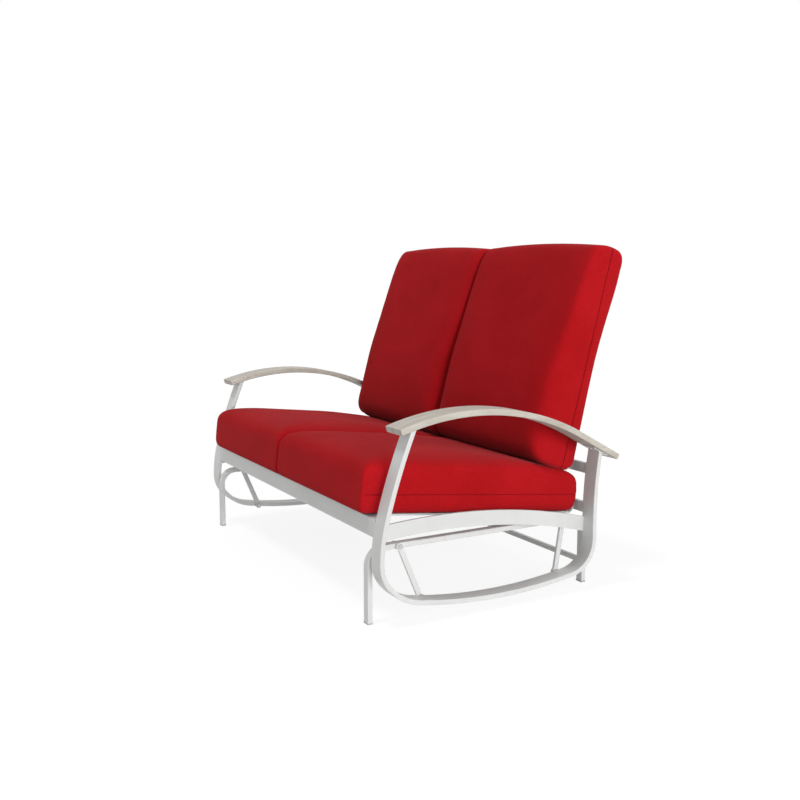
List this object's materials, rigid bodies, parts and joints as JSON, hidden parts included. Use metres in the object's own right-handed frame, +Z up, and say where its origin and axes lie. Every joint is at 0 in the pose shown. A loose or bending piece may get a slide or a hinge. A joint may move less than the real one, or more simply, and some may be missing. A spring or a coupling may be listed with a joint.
{
  "type": "glider bench",
  "caption": "Cushioned glider bench: bent metal side frames with arched arms, on a low base with swing links, so the whole seat glides forward and back.",
  "frame": {"origin": "on the floor under the middle of the bench's bounding box", "axes": "+Z up; +X to the right of someone who faces the front of the bench; the front faces -Y"},
  "size_m": [1.33, 0.8846, 1.0102],
  "materials": {
    "frame_coat": "matte powder coat",
    "arm_board": "satin, pale grey-brown grain",
    "cushion_fabric": "woven, matte",
    "bearing_plastic": "matte",
    "glide_plastic": "matte",
    "hardware_steel": "zinc plated"
  },
  "bodies": {
    "base": {"base_side_left": "frame_coat", "base_side_right": "frame_coat", "base_stretcher": "frame_coat", "glide_front_left": "glide_plastic", "glide_front_right": "glide_plastic", "glide_rear_left": "glide_plastic", "glide_rear_right": "glide_plastic", "upper_pivot_bolts": "hardware_steel", "upper_pivot_rings": "hardware_steel", "upper_pivot_spacers": "hardware_steel"},
    "seat": {"arm_left": "arm_board", "arm_plate_front_left": "frame_coat", "arm_plate_front_right": "frame_coat", "arm_plate_rear_left": "frame_coat", "arm_plate_rear_right": "frame_coat", "arm_right": "arm_board", "arm_screws": "hardware_steel", "back_bottom_bar": "frame_coat", "back_bracket_centre": "frame_coat", "back_bracket_left": "frame_coat", "back_bracket_right": "frame_coat", "back_cushion_left": "cushion_fabric", "back_cushion_right": "cushion_fabric", "back_post_centre": "frame_coat", "back_post_left": "frame_coat", "back_post_right": "frame_coat", "back_slat_1": "frame_coat", "back_slat_2": "frame_coat", "back_slat_3": "frame_coat", "back_slat_4": "frame_coat", "back_top_bar": "frame_coat", "cross_rail_tie": "frame_coat", "lower_cross_rail": "frame_coat", "lower_pivot_bolts": "hardware_steel", "lower_pivot_inserts": "hardware_steel", "lower_pivot_spacers": "hardware_steel", "seat_cushion_left": "cushion_fabric", "seat_cushion_right": "cushion_fabric", "seat_front_rail": "frame_coat", "seat_side_rail_left": "frame_coat", "seat_side_rail_right": "frame_coat", "seat_slat_1": "frame_coat", "seat_slat_2": "frame_coat", "seat_slat_3": "frame_coat", "seat_slat_4": "frame_coat", "seat_slat_5": "frame_coat", "seat_slat_6": "frame_coat", "seat_slat_7": "frame_coat", "seat_slat_8": "frame_coat", "side_frame_left": "frame_coat", "side_frame_right": "frame_coat", "upper_cross_rail": "frame_coat"},
    "link_front_left": {"link_front_left": "frame_coat", "bearings_front_left": "bearing_plastic"},
    "link_rear_left": {"link_rear_left": "frame_coat", "bearings_rear_left": "bearing_plastic"},
    "link_front_right": {"link_front_right": "frame_coat", "bearings_front_right": "bearing_plastic"},
    "link_rear_right": {"link_rear_right": "frame_coat", "bearings_rear_right": "bearing_plastic"}
  },
  "joints": [
    {"name": "front_left_swing", "type": "hinge", "parent": "base", "child": "link_front_left", "pos_m": [-0.59225, -0.33575, 0.20275], "axis": [1, 0, 0], "range_deg": [-10, 10]},
    {"name": "front_right_swing", "type": "hinge", "parent": "base", "child": "link_front_right", "pos_m": [0.59225, -0.33575, 0.20275], "axis": [1, 0, 0], "range_deg": [-10, 10]},
    {"name": "rear_left_swing", "type": "hinge", "parent": "base", "child": "link_rear_left", "pos_m": [-0.59225, 0.20965, 0.20275], "axis": [1, 0, 0], "range_deg": [-10, 10]},
    {"name": "rear_right_swing", "type": "hinge", "parent": "base", "child": "link_rear_right", "pos_m": [0.59225, 0.20965, 0.20275], "axis": [1, 0, 0], "range_deg": [-10, 10]},
    {"name": "seat_swing", "type": "hinge", "parent": "link_front_left", "child": "seat", "pos_m": [0, -0.27375, 0.0549], "axis": [1, 0, 0], "range_deg": [-12, 12]}
  ],
  "couplings": [
    {"joint": "front_right_swing", "follows": "front_left_swing", "ratio": 1},
    {"joint": "rear_left_swing", "follows": "front_left_swing", "ratio": 0.98629},
    {"joint": "rear_right_swing", "follows": "front_left_swing", "ratio": 0.98629},
    {"joint": "seat_swing", "follows": "front_left_swing", "ratio": -1.186}
  ]
}
